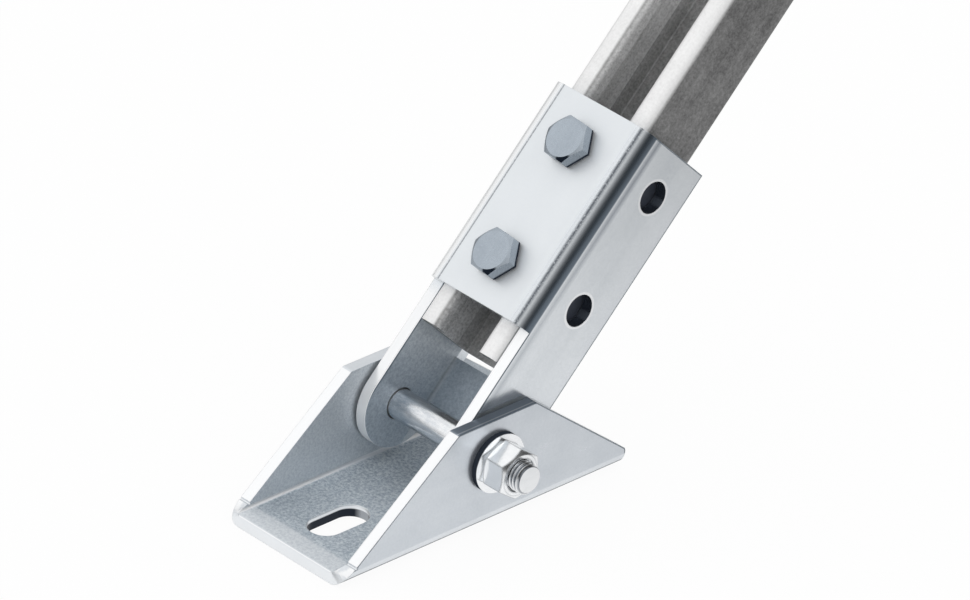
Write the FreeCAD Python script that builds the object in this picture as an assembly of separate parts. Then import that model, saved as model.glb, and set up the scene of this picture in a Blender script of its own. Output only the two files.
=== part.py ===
import FreeCAD, Part
import math
import os
from FreeCAD import Vector

# Adjustable angle bracket for a strut channel: a folded base with two ears, a folded saddle
# that swings between the ears on one through bolt, and a stretch of strut clamped in the saddle.
# Millimetres. X runs along the pivot, Y rearward along the base plate, Z up from its underside;
# the origin is on the underside, straight below the pivot.
# The saddle and all it carries are drawn lying down and then turned about the pivot:
# X stays, Y runs up along the strut from the pivot, Z is the outward side of the saddle's web.

# Both folded brackets
sheet = 5.0
bend_inside = 2.0
bolt_play = 1.0

# Base bracket
base_width = 64.0
plate_front = 75.0
plate_rear = 67.0
ear_height = 45.5
ear_top_length = 38.8
ear_top_round = 2.0
ear_slope = 38.15
pivot_height = 27.6
base_slot_width = 14.0
base_slot_length = 26.6
base_slot_offset = 48.2
edge_roll = 0.9
slot_rim_round = 0.4
notch_diameter = 1.2
neutral_share = 0.42

# Strut channel, as wide as the saddle lets it be: 41 mm here, with an opening of 22 mm
strut_depth = 34.5
strut_sheet = 2.5
strut_bend_inside = 0.6
strut_shoulder = 9.5
strut_lip = 7.0
strut_start = 30.2
strut_length = 175.0

# Saddle
tilt = 45.7
ear_play = 1.2
strut_play = 0.3
plate_depth = 35.4
plate_offset = -0.6
saddle_top = 131.5
web_start = 45.5
hole_first = 63.5
hole_pitch = 50.0
side_hole = 13.0
tie_bottom = 3.5
tie_top = 26.5
tie_seam = 0.1

# Fasteners
pivot_bolt_diameter = 12.0
pivot_across_flats = 18.0
pivot_head_height = 7.5
pivot_bolt_past_nut = 4.7
pivot_bolt_tip = 0.6
pivot_nut_height = 10.8
pivot_nut_turn = 55.0
washer_diameter = 24.0
washer_thickness = 2.5
screw_diameter = 10.0
screw_across_flats = 16.8
screw_head_height = 6.4
screw_seat_diameter = 15.6
screw_seat_height = 0.8
screw_length = 25.0
screw_turn = 57.0
lower_screw_shift = 0.45
nut_end_play = 1.0
nut_width = 20.0
nut_thickness = 9.0
nut_groove = 1.5
nut_groove_play = 0.3

# Worked out from the above
bend_outside = bend_inside + sheet
base_half = base_width / 2
ear_inner = base_half - sheet
ear_foot_y = ear_top_length / 2 + (ear_height - bend_outside) / math.tan(math.radians(ear_slope))
slope_travel = (bend_inside + neutral_share * sheet) * math.tan(math.radians(90 - ear_slope))
slope_start = min(max(math.pi / 2 - (plate_front - ear_foot_y) / slope_travel, 0.05), 1.5)
saddle_outer = ear_inner - ear_play
saddle_inner = saddle_outer - sheet
strut_half = saddle_inner - strut_play
strut_opening_half = strut_half - strut_shoulder
plate_front_n = plate_offset + plate_depth / 2
plate_rear_n = plate_offset - plate_depth / 2
web_outer_n = plate_front_n + bend_outside
strut_face_n = web_outer_n - sheet
strut_back_n = strut_face_n - strut_depth
lip_end_n = strut_face_n - strut_lip
pivot_hole = pivot_bolt_diameter + bolt_play
screw_hole = screw_diameter + bolt_play
nut_face = base_half + washer_thickness + pivot_nut_height
hole_stations = [hole_first, hole_first + hole_pitch]
lower_screw_u = hole_first + lower_screw_shift
upper_screw_u = hole_first + hole_pitch


def on_section(a, b):
    return Vector(a, 0, b)


def on_side(a, b):
    return Vector(0, a, b)


def on_plan(a, b):
    return Vector(a, b, 0)


def rounded_face(corners, radii, lift):
    """A flat face with straight sides whose corners are rounded by the given radii."""
    flat = [Vector(a, b, 0) for a, b in corners]
    count = len(flat)
    starts = []
    ends = []
    middles = []
    for i in range(count):
        corner = flat[i]
        back = (flat[i - 1] - corner).normalize()
        ahead = (flat[(i + 1) % count] - corner).normalize()
        if radii[i] <= 0:
            starts.append(corner)
            ends.append(corner)
            middles.append(None)
            continue
        half_angle = back.getAngle(ahead) / 2
        reach = radii[i] / math.tan(half_angle)
        towards = (back + ahead).normalize()
        centre = corner + towards * (radii[i] / math.sin(half_angle))
        starts.append(corner + back * reach)
        ends.append(corner + ahead * reach)
        middles.append(centre - towards * radii[i])
    edges = []
    for i in range(count):
        if middles[i] is not None:
            arc = [lift(p.x, p.y) for p in (starts[i], middles[i], ends[i])]
            edges.append(Part.Arc(arc[0], arc[1], arc[2]).toShape())
        nearby = starts[(i + 1) % count]
        if (nearby - ends[i]).Length > 1e-6:
            edges.append(Part.makeLine(lift(ends[i].x, ends[i].y), lift(nearby.x, nearby.y)))
    return Part.Face(Part.Wire(edges))


def bent_sheet(path, thickness, inside):
    """The cut face of a sheet bent at right angles, always to the left; path is its outer side."""
    legs = []
    for i in range(len(path) - 1):
        da = path[i + 1][0] - path[i][0]
        db = path[i + 1][1] - path[i][1]
        span = math.hypot(da, db)
        legs.append((-db / span * thickness, da / span * thickness))
    inner = [(path[0][0] + legs[0][0], path[0][1] + legs[0][1])]
    for i in range(1, len(path) - 1):
        inner.append((path[i][0] + legs[i - 1][0] + legs[i][0],
                      path[i][1] + legs[i - 1][1] + legs[i][1]))
    inner.append((path[-1][0] + legs[-1][0], path[-1][1] + legs[-1][1]))
    bends = len(path) - 2
    corners = list(path) + inner[::-1]
    radii = [0] + [inside + thickness] * bends + [0, 0] + [inside] * bends + [0]
    return rounded_face(corners, radii, on_section)


def extruded(face, vector, start):
    shape = face.extrude(vector)
    shape.translate(start)
    return shape


def along_y(face, y0, y1):
    return extruded(face, Vector(0, y1 - y0, 0), Vector(0, y0, 0))


def along_x(face, x0, x1):
    return extruded(face, Vector(x1 - x0, 0, 0), Vector(x0, 0, 0))


def along_z(face, z0, z1):
    return extruded(face, Vector(0, 0, z1 - z0), Vector(0, 0, z0))


def rod_x(radius, x0, x1, y, z):
    return Part.makeCylinder(radius, x1 - x0, Vector(x0, y, z), Vector(1, 0, 0))


def rod_z(radius, z0, z1, x, y):
    return Part.makeCylinder(radius, z1 - z0, Vector(x, y, z0), Vector(0, 0, 1))


def box(x0, x1, y0, y1, z0, z1):
    return Part.makeBox(x1 - x0, y1 - y0, z1 - z0, Vector(x0, y0, z0))


def slot_face(length, width, x, y):
    half = width / 2
    reach = length / 2
    corners = [(x - half, y - reach), (x + half, y - reach), (x + half, y + reach), (x - half, y + reach)]
    return rounded_face(corners, [half - 0.001] * 4, on_plan)


def turned(profile):
    """A solid turned about Z from its half profile of radius and height."""
    points = [Vector(r, 0, h) for r, h in profile]
    face = Part.Face(Part.makePolygon(points + [points[0]]))
    return face.revolve(Vector(0, 0, 0), Vector(0, 0, 1), 360)


def hexagon(across_flats, z0, z1, turn):
    radius = across_flats / math.sqrt(3)
    points = []
    for i in range(7):
        angle = math.radians(turn + 60 * i)
        points.append(Vector(radius * math.cos(angle), radius * math.sin(angle), z0))
    return Part.Face(Part.makePolygon(points)).extrude(Vector(0, 0, z1 - z0))


def chamfered_hexagon(across_flats, z0, z1, turn, both_ends):
    """A hexagon whose outer end, or both, is turned to the usual 30 degree chamfer."""
    corner = across_flats / math.sqrt(3)
    rim = across_flats * 0.46
    fall = (corner - rim) * math.tan(math.radians(30))
    start = [(0, z0), (corner + 0.01, z0)]
    if both_ends:
        start = [(0, z0), (rim, z0), (corner + 0.01, z0 + fall)]
    envelope = turned(start + [(corner + 0.01, z1 - fall), (rim, z1), (0, z1)])
    return hexagon(across_flats, z0, z1, turn).common(envelope)


def bend_end_cutter(side):
    """What the rounded corner of the flat blank takes off the front end of one base bend.

    The cut moves rearward faster and faster while the sheet turns up, until it meets the
    ear's slope, and stays square to the sheet.
    """
    centre_x = base_half - bend_outside
    steps = 8
    wires = []
    for i in range(steps + 1):
        angle = slope_start + (math.pi / 2 - slope_start) * i / steps
        end_y = -ear_foot_y - (plate_front - ear_foot_y) * math.cos(math.pi / 2 * i / steps)
        ring = []
        for radius, y in ((bend_inside - 1, -plate_front - 5), (bend_outside + 1, -plate_front - 5),
                          (bend_outside + 1, end_y), (bend_inside - 1, end_y)):
            x = centre_x + radius * math.sin(angle)
            z = bend_outside - radius * math.cos(angle)
            ring.append(Vector(side * x, y, z))
        wires.append(Part.makePolygon(ring + [ring[0]]))
    return Part.makeLoft(wires, True, True)


def rolled_front_edge():
    """The soft shoulder that shearing leaves along the upper front edge, and into both bends."""
    low = sheet - edge_roll
    front = -plate_front
    middle = edge_roll * (1 - math.sqrt(0.5))
    edges = [Part.Arc(on_side(front, low), on_side(front + middle, sheet - middle),
                      on_side(front + edge_roll, sheet)).toShape(),
             Part.makeLine(on_side(front + edge_roll, sheet), on_side(front - 1, sheet + 1)),
             Part.makeLine(on_side(front - 1, sheet + 1), on_side(front - 1, low)),
             Part.makeLine(on_side(front - 1, low), on_side(front, low))]
    face = Part.Face(Part.Wire(edges))
    reach = base_half - bend_outside
    shape = along_x(face, -reach, reach)
    for side in (-1, 1):
        corner = face.copy()
        corner.translate(Vector(side * reach, 0, 0))
        turn = -side * math.degrees(slope_start)
        shape = shape.fuse(corner.revolve(Vector(side * reach, 0, bend_outside), Vector(0, 1, 0), turn))
    return shape


def make_base_bracket():
    path = [(-base_half, ear_height), (-base_half, 0), (base_half, 0), (base_half, ear_height)]
    shape = along_y(bent_sheet(path, sheet, bend_inside), -plate_front, plate_rear)

    # Side outline of the ears: a short level top and one long slope towards each end
    top = ear_top_length / 2
    rear_z = ear_height - (plate_rear - top) * math.tan(math.radians(ear_slope))
    outline = [(-plate_front, 0), (plate_rear, 0), (plate_rear, rear_z), (top, ear_height),
               (-top, ear_height), (-ear_foot_y, bend_outside), (-plate_front, bend_outside)]
    rounds = [0, 0, ear_top_round, ear_top_round, ear_top_round, 0, 0]
    shape = shape.common(along_x(rounded_face(outline, rounds, on_side), -base_half, base_half))
    shape = shape.cut(bend_end_cutter(1))
    shape = shape.cut(bend_end_cutter(-1))
    shape = shape.cut(rolled_front_edge())

    # Small round notches where the ears leave the bends at the front
    for side in (-1, 1):
        inner = side * (ear_inner - 1)
        outer = side * (base_half + 1)
        shape = shape.cut(rod_x(notch_diameter / 2, min(inner, outer), max(inner, outer),
                                -ear_foot_y, bend_outside))

    # Two fixing slots with rolled upper rims, and the pivot holes through both ears
    for y in (-base_slot_offset, base_slot_offset):
        shape = shape.cut(along_z(slot_face(base_slot_length, base_slot_width, 0, y), -1, sheet + 1))
    rims = []
    for edge in shape.Edges:
        box_of = edge.BoundBox
        level = abs(box_of.ZMin - sheet) < 0.01 and abs(box_of.ZMax - sheet) < 0.01
        if level and max(abs(box_of.XMin), abs(box_of.XMax)) < base_slot_width / 2 + 0.1:
            rims.append(edge)
    shape = shape.makeFillet(slot_rim_round, rims)
    return shape.cut(rod_x(pivot_hole / 2, -base_half - 1, base_half + 1, 0, pivot_height))


def make_swivel_saddle():
    low = -plate_depth / 2 - 1
    path = [(saddle_outer, plate_rear_n), (saddle_outer, web_outer_n),
            (-saddle_outer, web_outer_n), (-saddle_outer, plate_rear_n)]
    shape = along_y(bent_sheet(path, sheet, bend_inside), low, saddle_top)

    # Side outline: full depth with the web on top, plates only below it, round end about the pivot
    edges = [Part.makeLine(on_side(0, plate_rear_n), on_side(saddle_top, plate_rear_n)),
             Part.makeLine(on_side(saddle_top, plate_rear_n), on_side(saddle_top, web_outer_n)),
             Part.makeLine(on_side(saddle_top, web_outer_n), on_side(web_start, web_outer_n)),
             Part.makeLine(on_side(web_start, web_outer_n), on_side(web_start, plate_front_n)),
             Part.makeLine(on_side(web_start, plate_front_n), on_side(0, plate_front_n)),
             Part.Arc(on_side(0, plate_front_n), on_side(-plate_depth / 2, plate_offset),
                      on_side(0, plate_rear_n)).toShape()]
    shape = shape.common(along_x(Part.Face(Part.Wire(edges)), -saddle_outer, saddle_outer))

    # Rear tie: the plates' rear edges folded inward below the strut's end, meeting at a seam
    bend_n = plate_rear_n + bend_outside
    reach = saddle_outer + 1
    shape = shape.cut(box(-reach, reach, tie_bottom, tie_top, plate_rear_n - 1, bend_n))
    tie_path = [(-saddle_outer, bend_n), (-saddle_outer, plate_rear_n),
                (saddle_outer, plate_rear_n), (saddle_outer, bend_n)]
    tie = along_y(bent_sheet(tie_path, sheet, bend_inside), tie_bottom, tie_top)
    tie = tie.cut(box(-tie_seam / 2, tie_seam / 2, tie_bottom - 1, tie_top + 1,
                      plate_rear_n - 1, bend_n))
    shape = shape.fuse(tie)

    # Pivot holes, side holes and the web's screw holes
    shape = shape.cut(rod_x(pivot_hole / 2, -reach, reach, 0, 0))
    for u in hole_stations:
        shape = shape.cut(rod_x(side_hole / 2, -reach, reach, u, plate_offset))
        shape = shape.cut(rod_z(screw_hole / 2, strut_face_n - 1, web_outer_n + 1, 0, u))
    return shape.removeSplitter()


def make_strut_channel():
    opening = strut_opening_half
    path = [(-opening, lip_end_n), (-opening, strut_face_n), (-strut_half, strut_face_n),
            (-strut_half, strut_back_n), (strut_half, strut_back_n), (strut_half, strut_face_n),
            (opening, strut_face_n), (opening, lip_end_n)]
    section = bent_sheet(path, strut_sheet, strut_bend_inside)
    return along_y(section, strut_start, strut_start + strut_length)


def make_screw(u):
    shank = screw_diameter / 2
    tip = web_outer_n - screw_length
    profile = [(0, tip), (shank - 1, tip), (shank, tip + 1), (shank, web_outer_n + 0.5),
               (0, web_outer_n + 0.5)]
    seat = rod_z(screw_seat_diameter / 2, web_outer_n, web_outer_n + screw_seat_height, 0, 0)
    head = chamfered_hexagon(screw_across_flats, web_outer_n + screw_seat_height,
                             web_outer_n + screw_head_height, screw_turn, False)
    shape = turned(profile).fuse(seat).fuse(head).removeSplitter()
    shape.translate(Vector(0, u, 0))
    return shape


def make_channel_nut(u):
    """A block behind the strut's lips, grooved where the lips' edges seat in it."""
    top = lip_end_n + nut_groove
    inner = strut_opening_half - nut_groove_play
    outer = strut_opening_half + strut_sheet + nut_groove_play
    end = strut_half - strut_sheet - nut_end_play
    shape = box(-end, end, u - nut_width / 2, u + nut_width / 2,
                top - nut_thickness, top)
    for side in (-1, 1):
        x0 = min(side * inner, side * outer)
        shape = shape.cut(box(x0, x0 + outer - inner, u - nut_width, u + nut_width,
                              lip_end_n, top + 1))
    return shape.cut(rod_z(screw_diameter / 2, top - nut_thickness - 1, top + 1, 0, u))


def make_pivot_bolt():
    """Drawn standing on its head along Z, then laid along X from the left ear."""
    shank = pivot_bolt_diameter / 2
    length = base_half + nut_face + pivot_bolt_past_nut
    tip = pivot_bolt_tip
    profile = [(0, -0.5), (shank, -0.5), (shank, length - tip), (shank - tip, length), (0, length)]
    head = chamfered_hexagon(pivot_across_flats, 0, pivot_head_height, pivot_nut_turn, False)
    head.rotate(Vector(0, 0, 0), Vector(1, 0, 0), 180)
    shape = turned(profile).fuse(head).removeSplitter()
    shape.rotate(Vector(0, 0, 0), Vector(0, 1, 0), 90)
    shape.translate(Vector(-base_half, 0, pivot_height))
    return shape


def make_pivot_washer():
    """Drawn lying flat, then stood against the right ear."""
    shape = rod_z(washer_diameter / 2, 0, washer_thickness, 0, 0)
    shape = shape.cut(rod_z(pivot_hole / 2, -1, washer_thickness + 1, 0, 0))
    shape.rotate(Vector(0, 0, 0), Vector(0, 1, 0), 90)
    shape.translate(Vector(base_half, 0, pivot_height))
    return shape


def make_pivot_nut():
    """Drawn lying flat, then stood against the washer."""
    top = pivot_nut_height
    shape = chamfered_hexagon(pivot_across_flats, 0, top, pivot_nut_turn, True)
    bore = pivot_bolt_diameter / 2
    shape = shape.cut(rod_z(bore, -1, top + 1, 0, 0))
    shape = shape.cut(turned([(0, top - 0.8), (bore, top - 0.8), (bore + 0.9, top + 0.1), (0, top + 0.1)]))
    shape = shape.removeSplitter()
    shape.rotate(Vector(0, 0, 0), Vector(0, 1, 0), 90)
    shape.translate(Vector(base_half + washer_thickness, 0, pivot_height))
    return shape


def tilted(shape):
    """Turns a piece of the swinging side about the pivot to the angle of use."""
    shape.rotate(Vector(0, 0, 0), Vector(1, 0, 0), tilt)
    shape.translate(Vector(0, 0, pivot_height))
    return shape


nodes = {
    "base_bracket": make_base_bracket(),
    "pivot_bolt": make_pivot_bolt(),
    "pivot_washer": make_pivot_washer(),
    "pivot_nut": make_pivot_nut(),
    "swivel_saddle": tilted(make_swivel_saddle()),
    "strut_channel": tilted(make_strut_channel()),
    "saddle_screw_lower": tilted(make_screw(lower_screw_u)),
    "saddle_screw_upper": tilted(make_screw(upper_screw_u)),
    "channel_nut_lower": tilted(make_channel_nut(lower_screw_u)),
    "channel_nut_upper": tilted(make_channel_nut(upper_screw_u)),
}

os.makedirs("parts", exist_ok=True)
for name, shape in nodes.items():
    shape.exportStep("parts/" + name + ".step")
    bounds = shape.BoundBox
    print(name, "valid", shape.isValid(), "solids", len(shape.Solids), "volume", round(shape.Volume),
          "x", round(bounds.XMin, 2), round(bounds.XMax, 2), "y", round(bounds.YMin, 2),
          round(bounds.YMax, 2), "z", round(bounds.ZMin, 2), round(bounds.ZMax, 2))
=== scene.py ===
# %% [markdown]
# # An adjustable angle bracket, dressed for its picture
#
# The bracket is two folded pieces of zinc-plated steel and a stretch of slotted strut. The base
# stands on its plate, the saddle swings between the base's two ears on one through bolt, and the
# strut is clamped in the saddle by two screws. The CAD model already has these shapes, in metres
# and in place. This script gives every piece its real finish, and makes the one thing that the
# CAD leaves plain, the thread on the pivot bolt.

# %% Load the frame
import bpy
import math
from mathutils import Matrix, Vector


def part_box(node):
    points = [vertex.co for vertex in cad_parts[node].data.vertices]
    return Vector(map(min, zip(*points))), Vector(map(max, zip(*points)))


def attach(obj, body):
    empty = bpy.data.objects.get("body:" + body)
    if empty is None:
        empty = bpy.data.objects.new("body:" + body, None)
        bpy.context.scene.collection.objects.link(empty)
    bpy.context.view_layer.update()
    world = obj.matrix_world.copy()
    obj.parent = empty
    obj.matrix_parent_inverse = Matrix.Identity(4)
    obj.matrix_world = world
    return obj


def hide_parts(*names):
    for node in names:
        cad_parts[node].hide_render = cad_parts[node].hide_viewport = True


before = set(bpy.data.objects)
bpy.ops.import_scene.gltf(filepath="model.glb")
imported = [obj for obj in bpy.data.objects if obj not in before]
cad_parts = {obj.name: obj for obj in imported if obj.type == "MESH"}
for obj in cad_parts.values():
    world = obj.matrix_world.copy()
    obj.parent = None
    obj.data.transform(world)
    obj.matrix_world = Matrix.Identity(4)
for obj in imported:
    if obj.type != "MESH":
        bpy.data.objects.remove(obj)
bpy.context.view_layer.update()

MM = 0.001
bpy.ops.object.select_all(action="DESELECT")
print("nodes", sorted(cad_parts))

# %% [markdown]
# ## The camera
#
# The picture was taken with a long lens, looking down by thirty degrees at the near right corner
# of the base. A camera can be placed by hand with the arrow keys, but here the turn, the tilt and
# the distance were worked out from straight edges of known length, so they are typed in. The
# pivot's place in the picture then says how far the camera stands to the side.

# %% Camera at the angle of the picture
PICTURE = (970, 600)
FOCAL = 10545.5
TURN = math.radians(45.85)
LOOK_DOWN = math.radians(30.06)
ROLL = math.radians(3.0)
PIVOT = Vector((0, 0, 27.65)) * MM
PIVOT_IN_PICTURE = (437.44, 425.74)
PIXELS_PER_MM = 2.70


def camera_matrix():
    right = Vector((math.cos(TURN), math.sin(TURN), 0))
    ahead = Vector((-math.sin(TURN) * math.cos(LOOK_DOWN),
                    math.cos(TURN) * math.cos(LOOK_DOWN),
                    -math.sin(LOOK_DOWN)))
    above = right.cross(ahead)
    rolled_right = math.cos(ROLL) * right + math.sin(ROLL) * above
    rolled_above = -math.sin(ROLL) * right + math.cos(ROLL) * above
    distance = FOCAL / PIXELS_PER_MM * MM
    across = (PIVOT_IN_PICTURE[0] - PICTURE[0] / 2) / FOCAL * distance
    upward = -(PIVOT_IN_PICTURE[1] - PICTURE[1] / 2) / FOCAL * distance
    place = PIVOT - across * rolled_right - upward * rolled_above - distance * ahead
    turned = Matrix((rolled_right, rolled_above, -ahead)).transposed().to_4x4()
    return Matrix.Translation(place) @ turned


camera = bpy.data.objects.new("camera", bpy.data.cameras.new("camera"))
bpy.context.collection.objects.link(camera)
camera.matrix_world = camera_matrix()
camera.data.sensor_fit = "HORIZONTAL"
camera.data.angle = 2 * math.atan(PICTURE[0] / 2 / FOCAL)
camera.data.clip_end = 30
bpy.context.scene.camera = camera
print("camera at", [round(v, 3) for v in camera.location])

# %% [markdown]
# ## Nodes, the short way
#
# A material is a graph, and wiring it by hand takes many clicks. A few small helpers keep the cells
# short. Some add one node and fill its sockets, and new_group builds an empty shader group, which is
# a graph with named inputs and outputs that several materials can share.

# %% Helpers for nodes
def feed(tree, socket, value):
    if isinstance(value, bpy.types.NodeSocket):
        tree.links.new(value, socket)
    else:
        socket.default_value = value


def add_node(tree, kind, inputs=None, **settings):
    node = tree.nodes.new(kind)
    for name, value in settings.items():
        setattr(node, name, value)
    for name, value in (inputs or {}).items():
        feed(tree, node.inputs[name], value)
    return node


def math_node(tree, operation, *values, clamp=False):
    node = add_node(tree, "ShaderNodeMath", operation=operation, use_clamp=clamp)
    for socket, value in zip(node.inputs, values):
        feed(tree, socket, value)
    return node.outputs[0]


def blend_colours(tree, share, first, second, blend_type="MIX"):
    node = add_node(tree, "ShaderNodeMix", data_type="RGBA", blend_type=blend_type)
    for socket, value in ((node.inputs[0], share), (node.inputs[6], first), (node.inputs[7], second)):
        feed(tree, socket, value)
    return node.outputs[2]


def new_group(name, inputs, outputs):
    group = bpy.data.node_groups.new(name, "ShaderNodeTree")
    for label, kind, default in inputs:
        socket = group.interface.new_socket(name=label, in_out="INPUT", socket_type=kind)
        if default is not None:
            socket.default_value = default
    for label, kind in outputs:
        group.interface.new_socket(name=label, in_out="OUTPUT", socket_type=kind)
    return group, group.nodes.new("NodeGroupInput"), group.nodes.new("NodeGroupOutput")


def use_group(tree, group, inputs=None):
    return add_node(tree, "ShaderNodeGroup", inputs, node_tree=group)


def empty_material(name):
    material = bpy.data.materials.new(name)
    material.use_nodes = True
    material.node_tree.nodes.clear()
    return material, material.node_tree


print("node helpers ready")

# %% [markdown]
# ## Masks
#
# A mask is a number from nothing to one that says how much of a finish a point gets. It could be
# painted by hand on a picture that is laid over the surface. Here it is worked out from where the
# point lies and which way it faces, because such a mask stays sharp at any size. A ramp turns a
# measure into a mask: nothing at its first value, full at its second, and fading in between.

# %% Helpers for masks
def ramp(tree, value, low, high, out_low=0.0, out_high=1.0):
    node = add_node(tree, "ShaderNodeMapRange", {"Value": value, "From Min": low, "From Max": high,
                                                 "To Min": out_low, "To Max": out_high})
    return node.outputs["Result"]


def between(tree, value, low, high, soft=0.05 * MM):
    """One between low and high, fading to nothing over soft on either side."""
    rise = ramp(tree, value, low - soft, low + soft)
    fall = ramp(tree, value, high + soft, high - soft)
    return math_node(tree, "MULTIPLY", rise, fall)


def times(tree, *masks):
    product = masks[0]
    for mask in masks[1:]:
        product = math_node(tree, "MULTIPLY", product, mask)
    return product


def larger(tree, first, second):
    return math_node(tree, "MAXIMUM", first, second)


def without(tree, mask):
    return math_node(tree, "SUBTRACT", 1.0, mask)


def size_of(tree, value):
    return math_node(tree, "ABSOLUTE", value)


print("mask helpers ready")

# %% [markdown]
# ## Floor, background and light
#
# Bright metal shows its surroundings more than its own colour, so the studio matters as much as
# the finish. The floor is a large pale sheet. For the camera most of it glows white, and the rest
# is lit like any paper, so the bracket keeps a soft shadow. In reflections the floor is bright only
# around the bracket. Two large soft lamps stand upper left and upper right.

# %% Floor
FLOOR_SIZE = 12.0
FLOOR_DROP = 0.05 * MM
FLOOR_GLOW = 0.94
MIRRORED_GLOW = 0.9
BRIGHT_SPOT = (-0.15, -0.2, 0)
SPOT_RADII = (0.28, 0.88)
DIM_FLOOR = 0.06
PAPER = (0.9, 0.9, 0.9, 1)
WHITE = (1, 1, 1, 1)


def picture_rays(tree):
    """The light path, and one for rays that the camera, a gloss or a clear surface sends."""
    paths = add_node(tree, "ShaderNodeLightPath").outputs
    seen = math_node(tree, "ADD", paths["Is Camera Ray"], paths["Is Glossy Ray"])
    return paths, math_node(tree, "ADD", seen, paths["Is Transmission Ray"], clamp=True)


bpy.ops.mesh.primitive_plane_add(size=FLOOR_SIZE, location=(0, 0, -FLOOR_DROP))
floor = bpy.context.active_object
floor.name = "floor"
bpy.ops.object.transform_apply(location=True)
floor_material, tree = empty_material("pale_floor")
paths, seen = picture_rays(tree)
paper = add_node(tree, "ShaderNodeBsdfDiffuse", {"Color": PAPER})
spot = add_node(tree, "ShaderNodeTexCoord")
reach = add_node(tree, "ShaderNodeVectorMath", {0: spot.outputs["Object"], 1: BRIGHT_SPOT},
                 operation="DISTANCE")
mirrored = ramp(tree, reach.outputs["Value"], *SPOT_RADII, 1.0, DIM_FLOOR)
brightness = add_node(tree, "ShaderNodeMix", {0: paths["Is Camera Ray"], 2: mirrored, 3: 1.0})
glow = add_node(tree, "ShaderNodeEmission", {"Color": WHITE, "Strength": brightness.outputs[0]})
strength = ramp(tree, paths["Is Glossy Ray"], 0.0, 1.0, FLOOR_GLOW, MIRRORED_GLOW)
share = times(tree, seen, strength)
both = add_node(tree, "ShaderNodeMixShader", {0: share, 1: paper.outputs[0], 2: glow.outputs[0]})
add_node(tree, "ShaderNodeOutputMaterial", {"Surface": both.outputs[0]})
floor.data.materials.append(floor_material)
print("floor", FLOOR_SIZE, "m")

# %% World and lamps
SKY_SLANT = (-0.5, -0.3, 1.0)
SKY_LOW = -0.35
SKY_HIGH = 0.85
SKY_DARK = 0.05
SKY_LIGHT = 0.95

world = bpy.data.worlds.new("studio")
bpy.context.scene.world = world
world.use_nodes = True
tree = world.node_tree
tree.nodes.clear()
paths, seen = picture_rays(tree)
soft = add_node(tree, "ShaderNodeBackground", {"Color": WHITE, "Strength": SKY_LIGHT})
direction = add_node(tree, "ShaderNodeTexCoord")
slant = add_node(tree, "ShaderNodeVectorMath", {0: direction.outputs["Generated"], 1: SKY_SLANT},
                 operation="DOT_PRODUCT")
dome = ramp(tree, slant.outputs["Value"], SKY_LOW, SKY_HIGH, SKY_DARK, 1.0)
brightness = add_node(tree, "ShaderNodeMix", {0: paths["Is Glossy Ray"], 2: 1.0, 3: dome})
white = add_node(tree, "ShaderNodeBackground", {"Color": WHITE, "Strength": brightness.outputs[0]})
both = add_node(tree, "ShaderNodeMixShader", {0: seen, 1: soft.outputs[0], 2: white.outputs[0]})
add_node(tree, "ShaderNodeOutputWorld", {"Surface": both.outputs[0]})


def soft_lamp(name, towards, distance, size, watts):
    data = bpy.data.lights.new(name, "AREA")
    data.shape = "DISK"
    data.size = size
    data.energy = watts
    lamp = bpy.data.objects.new(name, data)
    bpy.context.collection.objects.link(lamp)
    direction = Vector(towards).normalized()
    lamp.matrix_world = (Matrix.Translation(PIVOT + direction * distance)
                         @ direction.to_track_quat("Z", "Y").to_matrix().to_4x4())


soft_lamp("lamp_left", (-0.62, -0.52, 0.59), distance=2.2, size=1.5, watts=0.4)
soft_lamp("lamp_right", (0.75, 0.2, 0.8), distance=2.4, size=1.2, watts=3.0)
bpy.context.scene.view_settings.view_transform = "Standard"

# %% [markdown]
# ## Zinc clouds
#
# Zinc plate on rolled steel is never even: the sheet keeps faint streaks from the mill, the bath
# leaves soft clouds, and a fine grain of crystals sits over both. Three noise textures at three
# scales make them, one stretched along the direction in which the sheet was rolled. They are kept
# in a group, because the bracket, the strut and the bolts all have them, each in its own amount.

# %% Group: clouds, streaks and grain
def make_zinc_clouds():
    group, start, end = new_group("zinc_clouds", [
        ("Place", "NodeSocketVector", None),
        ("Cloud Size", "NodeSocketFloat", 60.0),
        ("Streak Size", "NodeSocketFloat", 40.0),
        ("Grain Size", "NodeSocketFloat", 900.0),
    ], [("Cloud", "NodeSocketFloat"), ("Streak", "NodeSocketFloat"), ("Grain", "NodeSocketFloat")])
    given = start.outputs
    cloud = add_node(group, "ShaderNodeTexNoise", {
        "Vector": given["Place"], "Scale": given["Cloud Size"], "Detail": 4.0, "Roughness": 0.6,
        "Distortion": 0.4})
    drawn = add_node(group, "ShaderNodeMapping", {"Vector": given["Place"], "Scale": (1.0, 0.06, 1.0)})
    streak = add_node(group, "ShaderNodeTexNoise", {
        "Vector": drawn.outputs[0], "Scale": given["Streak Size"], "Detail": 6.0, "Roughness": 0.65})
    grain = add_node(group, "ShaderNodeTexNoise", {
        "Vector": given["Place"], "Scale": given["Grain Size"], "Detail": 3.0, "Roughness": 0.7})
    group.links.new(ramp(group, cloud.outputs[0], 0.3, 0.7), end.inputs["Cloud"])
    group.links.new(ramp(group, streak.outputs[0], 0.3, 0.7), end.inputs["Streak"])
    group.links.new(ramp(group, grain.outputs[0], 0.25, 0.75), end.inputs["Grain"])
    return group


ZINC_CLOUDS = make_zinc_clouds()
print("group", ZINC_CLOUDS.name)
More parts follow.
